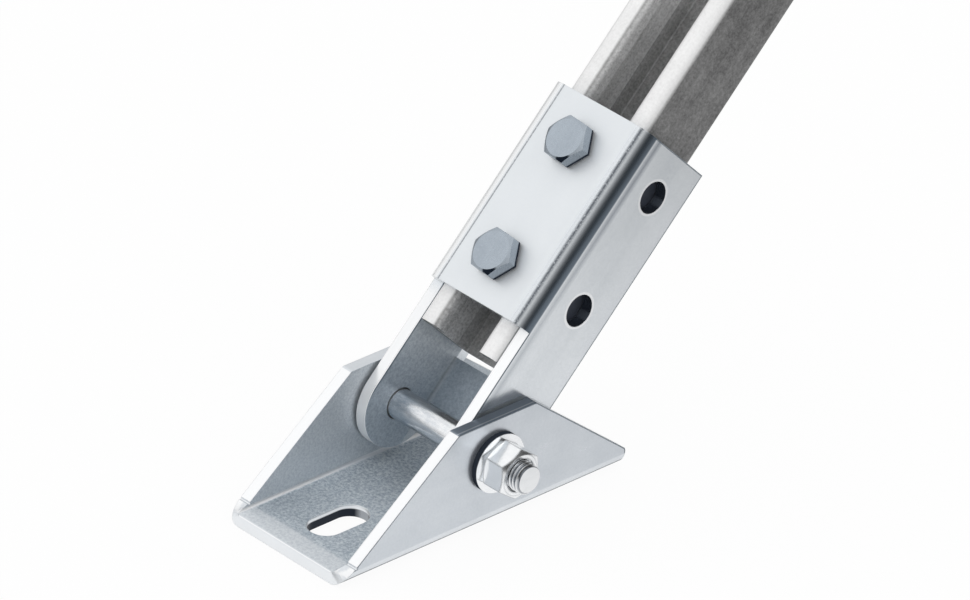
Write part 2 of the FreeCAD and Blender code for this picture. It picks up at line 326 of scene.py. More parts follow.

# %% [markdown]
# ## Soft edges
#
# No real edge is perfectly sharp: tumbling and plating leave a radius of a few tenths of a millimetre,
# which catches a thin line of light. A real bevel would need a new mesh for every CAD piece. The Bevel
# node rounds only the shading, and costs no faces. Comparing its normal with the true one also says how
# near an edge is, and that mask paints a thin dark line of shade along the edges of the bracket's outer
# sides.

# %% Group: edge
def make_soft_edge():
    group, start, end = new_group("soft_edge", [("Radius", "NodeSocketFloat", 0.4 * MM)],
                                  [("Normal", "NodeSocketVector"), ("Edge", "NodeSocketFloat")])
    rounded = add_node(group, "ShaderNodeBevel", {"Radius": start.outputs["Radius"]}, samples=6)
    true = add_node(group, "ShaderNodeNewGeometry")
    compare = add_node(group, "ShaderNodeVectorMath", operation="DOT_PRODUCT")
    group.links.new(rounded.outputs[0], compare.inputs[0])
    group.links.new(true.outputs["Normal"], compare.inputs[1])
    group.links.new(rounded.outputs[0], end.inputs["Normal"])
    group.links.new(ramp(group, compare.outputs["Value"], 0.995, 0.85), end.inputs["Edge"])
    return group


SOFT_EDGE = make_soft_edge()
print("group", SOFT_EDGE.name)

# %% [markdown]
# ## Haze on the inner faces
#
# Outside, the bracket is rubbed by hands and tools, and mirrors the studio. Inside, nothing rubs
# it, and the zinc stays crystalline: a fine mottle over a duller tint, with hardly any mirror. The
# base and the saddle share it, so it is a group.

# %% Group: fine mottle
HAZE_DARK = (0.50, 0.56, 0.62, 1)
HAZE_PALE = (0.97, 1.0, 1.0, 1)


def make_fine_mottle():
    group, start, end = new_group("fine_mottle", [("Place", "NodeSocketVector", None)],
                                  [("Mottle", "NodeSocketFloat")])
    grain = add_node(group, "ShaderNodeTexNoise", {
        "Vector": start.outputs["Place"], "Scale": 850.0, "Detail": 6.0, "Roughness": 0.8})
    group.links.new(ramp(group, grain.outputs[0], 0.4, 0.6), end.inputs["Mottle"])
    return group


FINE_MOTTLE = make_fine_mottle()


def hazy(tree, place, colour, mask):
    mottle = use_group(tree, FINE_MOTTLE, {"Place": place})
    haze = blend_colours(tree, mottle.outputs["Mottle"], HAZE_DARK, HAZE_PALE)
    return blend_colours(tree, mask, colour, haze, "MULTIPLY")


print("group", FINE_MOTTLE.name)

# %% [markdown]
# ## Where a point lies on its folded sheet
#
# The pattern of each folded piece follows its own sheet. The base lies level, but the saddle and
# the strut stand tilted, so a Mapping node turns their places back about the pivot. After that x
# runs along the pivot, y up the sheet and z out of it, for every piece alike, and a mask for the
# saddle can be written as if it lay flat on the bench.

# %% Places measured from the pivot
TILT = math.radians(45.7)
PIVOT_HEIGHT = 27.6 * MM
NEAR_HALF = (0.0, MM)
FAR_HALF = (0.0, -MM)


def sheet_place(tree, turned):
    """Place and normal in the piece's own frame: x along the pivot, y up the sheet, z outward."""
    coords = add_node(tree, "ShaderNodeTexCoord")
    shift = (0, -PIVOT_HEIGHT * math.sin(turned), -PIVOT_HEIGHT * math.cos(turned))
    place = add_node(tree, "ShaderNodeMapping", {"Vector": coords.outputs["Object"], "Location": shift,
                                                 "Rotation": (-turned, 0, 0)})
    normal = add_node(tree, "ShaderNodeMapping", {"Vector": coords.outputs["Normal"],
                                                  "Rotation": (-turned, 0, 0)}, vector_type="VECTOR")
    split = add_node(tree, "ShaderNodeSeparateXYZ", {0: place.outputs[0]})
    facing = add_node(tree, "ShaderNodeSeparateXYZ", {0: normal.outputs[0]})
    return place.outputs[0], split.outputs, facing.outputs


print("tilt", round(math.degrees(TILT), 1), "degrees")

# %% [markdown]
# The saddle's sides have two spare holes each. Their rims get a painted highlight, and the strut's wall
# behind them a painted deep shadow. Both finishes need to know how far a point is from the nearest
# hole's axis, which the saddle and the strut find with the same group.

# %% Group: discs round the side holes
HOLE_STATIONS = (63.5 * MM, 113.5 * MM)
HOLE_DROP = 0.6 * MM


def make_hole_discs():
    group, start, end = new_group("hole_discs", [
        ("Up", "NodeSocketFloat", 0.0), ("Out", "NodeSocketFloat", 0.0),
        ("Nothing At", "NodeSocketFloat", 7.0 * MM), ("Full At", "NodeSocketFloat", 6.0 * MM),
    ], [("Disc", "NodeSocketFloat")])
    discs = []
    for station in HOLE_STATIONS:
        off = add_node(group, "ShaderNodeCombineXYZ", {
            "Y": math_node(group, "SUBTRACT", start.outputs["Up"], station),
            "Z": math_node(group, "ADD", start.outputs["Out"], HOLE_DROP)})
        length = add_node(group, "ShaderNodeVectorMath", {0: off.outputs[0]}, operation="LENGTH")
        discs.append(ramp(group, length.outputs["Value"], start.outputs["Nothing At"],
                          start.outputs["Full At"]))
    group.links.new(larger(group, *discs), end.inputs["Disc"])
    return group


HOLE_DISCS = make_hole_discs()


def around_holes(tree, split, none, full):
    """Nothing where a side hole's axis is the radius none away, one where it is full away."""
    disc = use_group(tree, HOLE_DISCS, {"Up": split["Y"], "Out": split["Z"], "Nothing At": none,
                                        "Full At": full})
    return disc.outputs["Disc"]


print("group", HOLE_DISCS.name)

# %% [markdown]
# ## Bright zinc
#
# Blue-white zinc plate is a metal: its colour is the tint of what it mirrors. The roughness is low
# enough to mirror the next wall as a soft shape and high enough to lose its outline. Clouds change the
# roughness and, a little, the tint. A painted dark line, such as the painted shade along an edge or a
# painted contact shadow, must not shine at all, or it vanishes at a flat angle: there the metal is
# switched off, and a material with such lines has no specular level.

# %% Zinc: pattern and shader
ZINC = (0.80, 0.83, 0.86, 1)
ZINC_DULL = (0.68, 0.715, 0.75, 1)
STREAK_SHARE = 0.6
CLOUD_SHARE = 0.4
SHEET_CLOUDS = (60.0, 40.0, 900.0)
SHEET_EDGE = 0.4 * MM
SMOOTH = 0.05
OUTLINE_REACH = 1.2 * MM
OUTLINE_EDGE = (0.02, 0.2)
EDGE_SHADE_INK = (0.07, 0.09, 0.11, 1)


def zinc_surface(tree, place, tint, dark_tint, grain, clouds):
    pattern = use_group(tree, ZINC_CLOUDS, {"Place": place, "Cloud Size": clouds[0],
                                            "Streak Size": clouds[1], "Grain Size": clouds[2]})
    mixed = math_node(tree, "MULTIPLY", pattern.outputs["Streak"], STREAK_SHARE)
    mixed = math_node(tree, "MULTIPLY_ADD", pattern.outputs["Cloud"], CLOUD_SHARE, mixed)
    speckle = math_node(tree, "SUBTRACT", pattern.outputs["Grain"], 0.5)
    mixed = math_node(tree, "MULTIPLY_ADD", speckle, grain, mixed, clamp=True)
    return blend_colours(tree, mixed, dark_tint, tint), mixed, pattern.outputs["Grain"]


def finish_metal(tree, colour, rough, height, edge, bump, metallic=1.0, outline=None, quiet=None):
    edges = use_group(tree, SOFT_EDGE, {"Radius": edge})
    # The outline mask paints a thin dark line of shade along the edges.
    if outline is not None:
        rim = use_group(tree, SOFT_EDGE, {"Radius": OUTLINE_REACH})
        edge_shade = times(tree, ramp(tree, rim.outputs["Edge"], *OUTLINE_EDGE), outline)
        colour = blend_colours(tree, edge_shade, colour, EDGE_SHADE_INK)
        quiet = edge_shade if quiet is None else larger(tree, edge_shade, quiet)
    if quiet is not None:
        metallic = times(tree, without(tree, quiet), metallic)
    relief = add_node(tree, "ShaderNodeBump", {"Height": height, "Strength": bump,
                                               "Distance": 0.1 * MM, "Normal": edges.outputs["Normal"]})
    shader = add_node(tree, "ShaderNodeBsdfPrincipled", {
        "Base Color": colour, "Metallic": metallic, "Roughness": rough, "Normal": relief.outputs[0],
        "Specular IOR Level": 0.5 if quiet is None else 0.0})
    add_node(tree, "ShaderNodeOutputMaterial", {"Surface": shader.outputs[0]})


print("tints", ZINC[:3], ZINC_DULL[:3])

# %% [markdown]
# ## The base's zinc
#
# The base is folded from one sheet, and its finish changes from place to place. Between the ears it is
# hazy, and the plate is painted darker near its front than under the pivot, as painted shade. The bends
# and the cut edges get painted highlights, a thin line is polished across the plate near its front, and
# a dark line of painted shadow runs under the outer bends. Each is a mask laid over the zinc, one after
# the other, so a later one covers an earlier one.

# %% Base: where its faces and edges lie
EARS_INSIDE = (27.3 * MM, 27.05 * MM)
ABOVE_PLATE = (-22.9 * MM, -22.7 * MM)
BEHIND_FRONT = (-74.2 * MM, -73.9 * MM)
EARS_OUTSIDE = (31.85 * MM, 31.95 * MM)
FACES_UP = (0.9, 0.95)
FACES_SQUARELY = (0.95, 0.99)
HIGHLIGHT_ZINC = (0.97, 0.98, 0.99, 1)


def base_inside(tree, split, across):
    return times(tree, ramp(tree, across, *EARS_INSIDE), ramp(tree, split["Z"], *ABOVE_PLATE),
                 ramp(tree, split["Y"], *BEHIND_FRONT))


print("base: inside within", round(EARS_INSIDE[1] / MM, 2), "mm of the middle")


# %% Base: the hazy plate and its bends
PLATE_FADE = (-56.0 * MM, -34.0 * MM)
PLATE_FRONT_SHADE = (0.70, 0.73, 0.765, 1)
PLATE_BACK_LIGHT = (0.93, 0.95, 0.975, 1)
BEND_FOOT = (24.6 * MM, 25.2 * MM)
BEND_TOP = (-20.5 * MM, -20.9 * MM)


def base_plate(tree, place, split, facing, colour, inside):
    plate = times(tree, inside, ramp(tree, facing["Z"], *FACES_UP))
    # Painted shade and light: the plate is painted darker near its front and paler under the pivot.
    plate_light_and_shade = blend_colours(tree, ramp(tree, split["Y"], *PLATE_FADE), PLATE_FRONT_SHADE, PLATE_BACK_LIGHT)
    colour = blend_colours(tree, times(tree, plate, 0.9), colour, plate_light_and_shade)
    return hazy(tree, place, colour, times(tree, inside, ramp(tree, plate, 0.0, 1.0, 0.5, 1.0)))


def base_bends(tree, split, facing, colour, inside, across):
    # The bends get a painted highlight.
    bend = times(tree, ramp(tree, across, *BEND_FOOT), ramp(tree, facing["Z"], 0.3, 0.45),
                 ramp(tree, facing["Z"], 0.95, 0.85), ramp(tree, split["Z"], *BEND_TOP), inside)
    return blend_colours(tree, times(tree, bend, 0.8), colour, HIGHLIGHT_ZINC), bend


print("base: bends between", round(BEND_FOOT[0] / MM, 1), "and", round(EARS_INSIDE[0] / MM, 1), "mm")


# %% Base: outer sides and cut edges
OUTER_SHADE_TINT = (0.83, 0.84, 0.855, 1)
UNDER_BENDS = (28.0 * MM, 28.5 * MM)
UNDER_INK = (0.06, 0.07, 0.085, 1)
SLOPE_HIGHLIGHT_ZINC = (0.93, 0.94, 0.95, 1)
FRONT_FACE = (-21.6 * MM, -22.0 * MM)
FRONT_STRIP = (-65.0 * MM, -66.5 * MM)
FRONT_LIGHT_ZINC = (0.88, 0.90, 0.92, 1)
STOP_LINE = (-65.1 * MM, -64.95 * MM)
STOP_LINE_ZINC = (0.95, 0.96, 0.97, 1)


def base_outside(tree, facing, colour, across):
    outside = ramp(tree, across, *EARS_OUTSIDE)
    # The outer sides are tinted darker, as painted shade.
    colour = blend_colours(tree, outside, colour, OUTER_SHADE_TINT, "MULTIPLY")
    under = times(tree, ramp(tree, facing["Z"], -0.5, -0.68), ramp(tree, across, *UNDER_BENDS))
    return blend_colours(tree, times(tree, under, 0.85), colour, UNDER_INK), outside, under


def base_front(tree, split, facing, colour, inside):
    # The sloping cut edges get a painted highlight.
    slope = times(tree, ramp(tree, facing["Z"], 0.6, 0.7), ramp(tree, facing["Z"], 0.9, 0.85),
                  ramp(tree, size_of(tree, facing["Y"]), 0.4, 0.5))
    colour = blend_colours(tree, slope, colour, SLOPE_HIGHLIGHT_ZINC)
    upward = ramp(tree, facing["Z"], *FACES_UP)
    # The front face and a strip behind it are painted lighter, as painted light.
    front = times(tree, ramp(tree, facing["Y"], -0.6, -0.9), ramp(tree, split["Z"], *FRONT_FACE), 0.7)
    strip = times(tree, ramp(tree, split["Y"], *FRONT_STRIP), upward, inside, 0.5)
    colour = blend_colours(tree, larger(tree, front, strip), colour, FRONT_LIGHT_ZINC)
    line = times(tree, inside, between(tree, split["Y"], *STOP_LINE, soft=0.15 * MM), upward, 0.35)
    return blend_colours(tree, line, colour, STOP_LINE_ZINC)


print("base: stop line", round(-STOP_LINE[0] / MM, 1), "mm in front of the pivot")

# %% [markdown]
# Two more places are darker than the rest. The near ear's level top gets painted shade, all but a thin
# painted highlight at its outer edge. And the press that punches a slot tears the lower part of its
# wall, which stays rough and darker, and where that torn wall faces sideways it gets painted shade,
# nearly black.

# %% Base: level tops and slot walls
LEVEL_TOP = (17.6 * MM, 17.8 * MM)
TOP_LINE = (30.8 * MM, 31.0 * MM)
TOP_SHADOW = (0.20, 0.235, 0.28, 1)
TOP_LIGHT = (0.75, 0.78, 0.82, 1)
SLOT_SIDES = (8.2 * MM, 7.9 * MM)
SLOT_ENDS = (64.0 * MM, 63.0 * MM)
TORN_FROM = (-24.0 * MM, -24.4 * MM)
TORN_PALE = (0.35, 0.37, 0.40, 1)
TORN_SHADE_DARK = (0.02, 0.025, 0.035, 1)


def base_level_top(tree, split, colour):
    # Painted shade on the near ear's level top, with a thin painted highlight at its outer edge.
    top = times(tree, ramp(tree, split["Z"], *LEVEL_TOP), ramp(tree, split["X"], *NEAR_HALF))
    line = between(tree, split["X"], *TOP_LINE, soft=0.2 * MM)
    return blend_colours(tree, top, colour, blend_colours(tree, line, TOP_SHADOW, TOP_LIGHT))


def base_slot_walls(tree, split, facing, colour, across):
    torn = times(tree, ramp(tree, across, *SLOT_SIDES), ramp(tree, size_of(tree, facing["Z"]), 0.5, 0.4),
                 ramp(tree, size_of(tree, split["Y"]), *SLOT_ENDS), ramp(tree, split["Z"], *TORN_FROM))
    # The torn wall is darker; where it faces sideways it gets painted shade, nearly black.
    shaded_side = ramp(tree, size_of(tree, facing["X"]), 0.25, 0.6)
    return blend_colours(tree, torn, colour, blend_colours(tree, shaded_side, TORN_PALE, TORN_SHADE_DARK))


print("base: torn below", round(-TORN_FROM[0] / MM, 1), "mm under the pivot")


# %% Material: the base's zinc
def base_material():
    material, tree = empty_material("base_zinc")
    place, split, facing = sheet_place(tree, 0.0)
    colour, mixed, height = zinc_surface(tree, place, ZINC, ZINC_DULL, 0.5, SHEET_CLOUDS)
    across = size_of(tree, split["X"])
    inside = base_inside(tree, split, across)
    colour = base_plate(tree, place, split, facing, colour, inside)
    colour, bend = base_bends(tree, split, facing, colour, inside, across)
    colour, outside, under = base_outside(tree, facing, colour, across)
    colour = base_front(tree, split, facing, colour, inside)
    colour = base_level_top(tree, split, colour)
    colour = base_slot_walls(tree, split, facing, colour, across)
    dull = times(tree, inside, without(tree, bend))
    rough = math_node(tree, "MULTIPLY_ADD", dull, 0.14, ramp(tree, mixed, 0.0, 1.0, 0.34, 0.26))
    metallic = ramp(tree, dull, 0.0, 1.0, 0.9, 0.66)
    # Painted shade: a thin dark line along the edges of the outer sides.
    outline = times(tree, outside, ramp(tree, size_of(tree, facing["X"]), *FACES_SQUARELY))
    finish_metal(tree, colour, rough, height, SHEET_EDGE, SMOOTH, metallic, outline, under)
    return material


BASE_ZINC = base_material()
print("material", BASE_ZINC.name)

# %% [markdown]
# ## The saddle's zinc
#
# The saddle is folded from one sheet too: a web under the screws, two side plates, and a tie below the
# strut's end. Its inner walls are hazy and carry painted shade, which gives way to painted light higher
# up, and the tie's bends get painted shade. A broken dark line of painted shade runs along each bend of
# the web, and the near bend carries a painted dark reflection. A picture painted on the unfolded sheet
# would do too, but masks in the saddle's own directions need no unfolding.

# %% Saddle: inner walls and folds
WALLS_INSIDE = (21.2 * MM, 21.0 * MM)
INSIDE_DEPTH = (-13.5 * MM, 19.3 * MM)
WALLS_RISE = (4.0 * MM, 26.0 * MM)
SHADE_WEB = (0.70, 0.74, 0.78, 1)
SHADE_WALLS = (0.86, 0.89, 0.92, 1)
FOLD_FROM = (-10.0 * MM, -11.0 * MM)
FOLD_SHADE_INK = (0.16, 0.19, 0.22, 1)


def saddle_inside(tree, place, split, facing, colour, across):
    inside = times(tree, ramp(tree, across, *WALLS_INSIDE), between(tree, split["Z"], *INSIDE_DEPTH))
    sideways = size_of(tree, facing["X"])
    walls = times(tree, inside, ramp(tree, sideways, 0.5, 0.8))
    # Painted shade inside, which gives way to painted light up the walls.
    lit_higher_up = times(tree, ramp(tree, split["Y"], *WALLS_RISE), walls)
    shadow = blend_colours(tree, walls, SHADE_WEB, SHADE_WALLS)
    shadow = blend_colours(tree, lit_higher_up, shadow, WHITE)
    colour = blend_colours(tree, inside, colour, shadow, "MULTIPLY")
    colour = hazy(tree, place, colour, times(tree, inside, 0.6))
    # The tie's bends get painted shade.
    fold_shade = times(tree, inside, ramp(tree, sideways, 0.1, 0.3), ramp(tree, sideways, 0.98, 0.85),
                 ramp(tree, split["Z"], *FOLD_FROM), 0.6)
    return blend_colours(tree, fold_shade, colour, FOLD_SHADE_INK), inside, lit_higher_up


print("saddle: inside within", round(WALLS_INSIDE[1] / MM, 1), "mm of the middle")


# %% Saddle: web, bends and painted shade on the bends
WEB_FACE = (23.0 * MM, 23.5 * MM)
WEB_LIGHT_ZINC = (0.82, 0.85, 0.875, 1)
FAR_BEND_ACROSS = (-19.4 * MM, -20.2 * MM)
FAR_BEND_DEPTH = (17.1 * MM, 17.6 * MM)
FAR_BEND_LIGHT_ZINC = (0.90, 0.91, 0.92, 1)
NEAR_MARK = (22.0 * MM, 22.9 * MM)
FAR_MARK = (-19.1 * MM, -18.6 * MM)
MARK_DEPTH = (20.5 * MM, 21.0 * MM)
BEND_LINE_SHADE_INK = (0.05, 0.065, 0.085, 1)
DARK_REFLECTION_DEPTH = (16.0 * MM, 16.9 * MM)
DARK_REFLECTION_INK = (0.09, 0.125, 0.165, 1)


def saddle_web(tree, split, facing, colour):
    web = times(tree, ramp(tree, facing["Z"], 0.97, 0.995), ramp(tree, split["Z"], *WEB_FACE))
    # The web is painted a little lighter, as painted light.
    colour = blend_colours(tree, times(tree, web, 0.85), colour, WEB_LIGHT_ZINC)
    # The far bend is painted lighter, as painted light.
    far_bend_light = times(tree, ramp(tree, split["X"], *FAR_BEND_ACROSS),
                     ramp(tree, split["Z"], *FAR_BEND_DEPTH))
    return blend_colours(tree, far_bend_light, colour, FAR_BEND_LIGHT_ZINC), web, far_bend_light


def saddle_bend_shades(tree, place, split, facing, colour):
    # Painted shade: a broken dark line along each bend of the web.
    speckle = add_node(tree, "ShaderNodeTexNoise", {"Vector": place, "Scale": 1400.0, "Detail": 2.0})
    broken = ramp(tree, speckle.outputs[0], 0.18, 0.48)
    near_mark = between(tree, split["X"], *NEAR_MARK, soft=0.5 * MM)
    far_mark = times(tree, between(tree, split["X"], *FAR_MARK, soft=0.3 * MM), 0.8)
    marks = times(tree, larger(tree, near_mark, far_mark), ramp(tree, split["Z"], *MARK_DEPTH), broken)
    colour = blend_colours(tree, marks, colour, BEND_LINE_SHADE_INK)
    # A painted dark reflection on the near bend.
    dark_reflection = times(tree, ramp(tree, facing["X"], 0.7, 0.92),
                      ramp(tree, split["Z"], *DARK_REFLECTION_DEPTH), 0.9)
    return blend_colours(tree, dark_reflection, colour, DARK_REFLECTION_INK)


print("saddle: marks at", [round(mark[0] / MM, 1) for mark in (NEAR_MARK, FAR_MARK)], "mm")


# %% Saddle: outer sides
SIDES_OUTSIDE = (25.5 * MM, 25.7 * MM)
SHADE_BAND = (12.8 * MM, 15.2 * MM)
SHADE_RISE = (55.0 * MM, 110.0 * MM)
SHADE_INK = (0.3, 0.33, 0.37, 1)
LIGHT_LINE = (15.9 * MM, 16.15 * MM)
LIGHT_LINE_ZINC = (0.85, 0.87, 0.9, 1)


def saddle_sides(tree, split, colour, across):
    outer = ramp(tree, across, *SIDES_OUTSIDE)
    shade = times(tree, outer, between(tree, split["Z"], *SHADE_BAND, soft=1.2 * MM),
                  ramp(tree, split["Y"], *SHADE_RISE, 0.4, 0.85))
    colour = blend_colours(tree, shade, colour, SHADE_INK)
    line = times(tree, outer, between(tree, split["Z"], *LIGHT_LINE, soft=0.3 * MM))
    return blend_colours(tree, line, colour, LIGHT_LINE_ZINC), outer


print("saddle: outside beyond", round(SIDES_OUTSIDE[1] / MM, 1), "mm")

# %% [markdown]
# A cut edge gets a painted highlight, brighter than the faces beside it. The near plate's edge and the
# tie's top are painted nearly white and the far plate's edge a little duller. The walls of the side
# holes get painted shade, and their rims a painted highlight again.

# %% Saddle: cut edges and holes
EDGE_ACROSS = (20.7 * MM, 20.9 * MM)
EDGE_DEPTH = (17.4 * MM, 17.2 * MM)
TIE_DEPTH = (-12.0 * MM, -12.5 * MM)
FAR_EDGE_ABOVE = (45.0 * MM, 40.0 * MM)
FAR_EDGE_HIGHLIGHT_ZINC = (0.92, 0.93, 0.94, 1)
HOLE_WALLS = (-9.0 * MM, 9.0 * MM)
HOLES_ABOVE = (50.0 * MM, 52.0 * MM)
HOLE_WALL_SHADE_INK = (0.12, 0.14, 0.17, 1)
RIM_OUTER = (7.7 * MM, 7.3 * MM)
RIM_INNER = (6.7 * MM, 7.3 * MM)


def saddle_cut_edges(tree, split, facing, colour, across):
    edge_on = times(tree, ramp(tree, across, *EDGE_ACROSS),
                    ramp(tree, size_of(tree, facing["X"]), 0.4, 0.2),
                    ramp(tree, split["Z"], *EDGE_DEPTH))
    near_side = ramp(tree, split["X"], *NEAR_HALF)
    near_cut = times(tree, edge_on, ramp(tree, facing["Z"], *FACES_SQUARELY), near_side)
    tie_top = times(tree, ramp(tree, facing["Y"], 0.8, 0.95), ramp(tree, split["Z"], *TIE_DEPTH))
    # The cut edges get a painted highlight.
    cut = larger(tree, near_cut, tie_top)
    colour = blend_colours(tree, cut, colour, HIGHLIGHT_ZINC)
    far_cut = times(tree, edge_on, without(tree, near_side), ramp(tree, split["Y"], *FAR_EDGE_ABOVE))
    colour = blend_colours(tree, far_cut, colour, FAR_EDGE_HIGHLIGHT_ZINC)
    # The walls of the side holes get painted shade.
    hole = times(tree, edge_on, between(tree, split["Z"], *HOLE_WALLS),
                 ramp(tree, split["Y"], *HOLES_ABOVE))
    return blend_colours(tree, hole, colour, HOLE_WALL_SHADE_INK), larger(tree, cut, far_cut), tie_top


def saddle_hole_rims(tree, split, facing, colour, outer):
    rims = around_holes(tree, split, *RIM_OUTER)
    # The rims get a painted highlight.
    bright = times(tree, rims, around_holes(tree, split, *RIM_INNER), outer,
                   ramp(tree, size_of(tree, facing["X"]), 0.9, 0.95), 0.7)
    return blend_colours(tree, bright, colour, HIGHLIGHT_ZINC), rims


print("saddle: rims of", round(RIM_OUTER[1] / MM, 1), "mm radius")


# %% Material: the saddle's zinc
TIE_EDGE = 0.02 * MM
TIE_TO_SHEET = (-12.5 * MM, -11.5 * MM)


def saddle_material():
    material, tree = empty_material("saddle_zinc")
    place, split, facing = sheet_place(tree, TILT)
    colour, mixed, height = zinc_surface(tree, place, ZINC, ZINC_DULL, 0.5, SHEET_CLOUDS)
    across = size_of(tree, split["X"])
    colour, inside, lit_higher_up = saddle_inside(tree, place, split, facing, colour, across)
    colour, web, far_bend_light = saddle_web(tree, split, facing, colour)
    colour = saddle_bend_shades(tree, place, split, facing, colour)
    colour, outer = saddle_sides(tree, split, colour, across)
    colour, cuts, tie_top = saddle_cut_edges(tree, split, facing, colour, across)
    colour, rims = saddle_hole_rims(tree, split, facing, colour, outer)
    dull = larger(tree, inside, web)
    rough = math_node(tree, "MULTIPLY_ADD", dull, 0.26, ramp(tree, mixed, 0.0, 1.0, 0.26, 0.18))
    paler = larger(tree, larger(tree, cuts, lit_higher_up), far_bend_light)
    metallic = math_node(tree, "MULTIPLY_ADD", paler, -0.4, ramp(tree, dull, 0.0, 1.0, 0.9, 0.7))
    metallic = math_node(tree, "MULTIPLY_ADD", tie_top, -0.6, metallic, clamp=True)
    # Painted shade: a thin dark line along the edges of the outer sides, but not at the hole rims.
    outline = times(tree, outer, ramp(tree, size_of(tree, facing["X"]), *FACES_SQUARELY),
                    without(tree, rims))
    softness = ramp(tree, split["Z"], *TIE_TO_SHEET, TIE_EDGE, SHEET_EDGE)
    finish_metal(tree, colour, rough, height, softness, SMOOTH, metallic, outline)
    return material


SADDLE_ZINC = saddle_material()
print("material", SADDLE_ZINC.name)

# %% [markdown]
# ## Mill-galvanised strut
#
# The strut is rolled from strip that was dipped in zinc at the mill. That coat is duller and greyer than
# plate, with clouds and streaks along the strip, so it is half as metallic and much rougher. The rolled
# lips get a painted highlight, almost white, the inner walls are painted lighter near the lips than deep
# inside, as painted light and shade, and seen through the saddle's holes the wall gets a painted shadow,
# nearly black.

# %% Strut: its greys
STRUT_PALE = (0.31, 0.31, 0.31, 1)
STRUT_DARK = (0.13, 0.13, 0.13, 1)
STRUT_CLOUDS = (90.0, 130.0, 900.0)
STRUT_INSIDE = (18.4 * MM, 18.1 * MM)
NEAR_LIPS = (-6.2 * MM, -5.6 * MM)
HIGH_UP = (90.0 * MM, 140.0 * MM)
DEEP_INSIDE = (10.0 * MM, 9.0 * MM)
LIPS_FROM = (15.9 * MM, 16.1 * MM)
STRUT_SIDES = (20.0 * MM, 20.3 * MM)
HOLE_SHADOW_DISC = (7.6 * MM, 6.6 * MM)
HOLE_SHADOW_INK = (0.075, 0.085, 0.11, 1)


def greys(tree, mixed, dark, pale):
    return blend_colours(tree, mixed, (dark, dark, dark, 1), (pale, pale, pale, 1))


def strut_walls(tree, split, facing, colour, mixed, across):
    inner = ramp(tree, across, *STRUT_INSIDE)
    walls = times(tree, inner, ramp(tree, size_of(tree, facing["X"]), 0.5, 0.8))
    near = ramp(tree, split["Z"], *NEAR_LIPS)
    # Painted light and shade: the walls are painted lighter near the lips and higher up, and darker deep
    # inside.
    lit_mottle = blend_colours(tree, ramp(tree, split["Y"], *HIGH_UP), greys(tree, mixed, 0.34, 0.85),
                            greys(tree, mixed, 0.55, 1.0))
    colour = blend_colours(tree, times(tree, walls, near), colour, lit_mottle)
    deep_shade = times(tree, inner, ramp(tree, split["Z"], *DEEP_INSIDE), without(tree, near))
    return blend_colours(tree, deep_shade, colour, greys(tree, mixed, 0.26, 0.6))


def strut_lip_highlights(tree, split, facing):
    near_lip = times(tree, ramp(tree, facing["Z"], 0.0, 0.5), ramp(tree, split["X"], *NEAR_HALF))
    outward = times(tree, ramp(tree, facing["X"], -0.02, -0.1), ramp(tree, facing["Z"], -0.1, 0.2))
    far_lip = times(tree, larger(tree, ramp(tree, facing["Z"], 0.8, 0.97), outward),
                    ramp(tree, split["X"], *FAR_HALF))
    return times(tree, larger(tree, near_lip, far_lip), ramp(tree, split["Z"], *LIPS_FROM))


print("strut: inside within", round(STRUT_INSIDE[1] / MM, 1), "mm of the middle")


# %% Material: mill-galvanised strut
def strut_material():
    material, tree = empty_material("strut_galvanised")
    place, split, facing = sheet_place(tree, TILT)
    colour, mixed, height = zinc_surface(tree, place, STRUT_PALE, STRUT_DARK, 1.0, STRUT_CLOUDS)
    across = size_of(tree, split["X"])
    colour = strut_walls(tree, split, facing, colour, mixed, across)
    # The lips get a painted highlight.
    lip_highlight = strut_lip_highlights(tree, split, facing)
    colour = blend_colours(tree, lip_highlight, colour, greys(tree, mixed, 0.80, 0.93))
    # Painted shadow on the strut's wall behind the saddle's side holes.
    shadow_behind_holes = times(tree, around_holes(tree, split, *HOLE_SHADOW_DISC), ramp(tree, across, *STRUT_SIDES))
    colour = blend_colours(tree, shadow_behind_holes, colour, HOLE_SHADOW_INK)
    rough = ramp(tree, mixed, 0.0, 1.0, 0.5, 0.38)
    metallic = ramp(tree, lip_highlight, 0.0, 1.0, 0.5, 0.3)
    finish_metal(tree, colour, rough, height, SHEET_EDGE, 0.12, metallic)
    return material


STRUT_ZINC = strut_material()
print("material", STRUT_ZINC.name)

# %% [markdown]
# ## Screws, washer, nut and bolt
#
# Bought fasteners come from other baths than the sheet, so each has its own tint: the screws are
# blue-grey and dull, and the washer and the nut are nearly white. One function makes them all, and what
# only one has is handed to it as an extra. The screws have a painted contact shadow under their heads
# and a painted shadow on one side of the chamfer, the washer a painted dark rim of shade, and the bolt a
# scuffed shank and painted shade in its thread grooves.

# %% Extras for the small hardware
HEAD_SEAT_TOP = (26.1 * MM, 25.7 * MM)
HEAD_SEAT = (23.9 * MM, 24.0 * MM)
SEAT_SHADOW_INK = (0.015, 0.022, 0.035, 1)
WASHER_FACE = (34.35 * MM, 34.25 * MM)
WASHER_RIM_SHADE_INK = (0.03, 0.037, 0.05, 1)
BETWEEN_PLATES = (20.6 * MM, 20.0 * MM)
SCUFF_FADE = (12.0 * MM, -12.0 * MM)
SCUFF_ZINC = (0.45, 0.50, 0.56, 1)
GROOVE_RADII = (5.8 * MM, 5.3 * MM)
THREAD_SHOWS = (36.0 * MM, 37.0 * MM)
GROOVE_SHADE_INK = (0.12, 0.14, 0.17, 1)


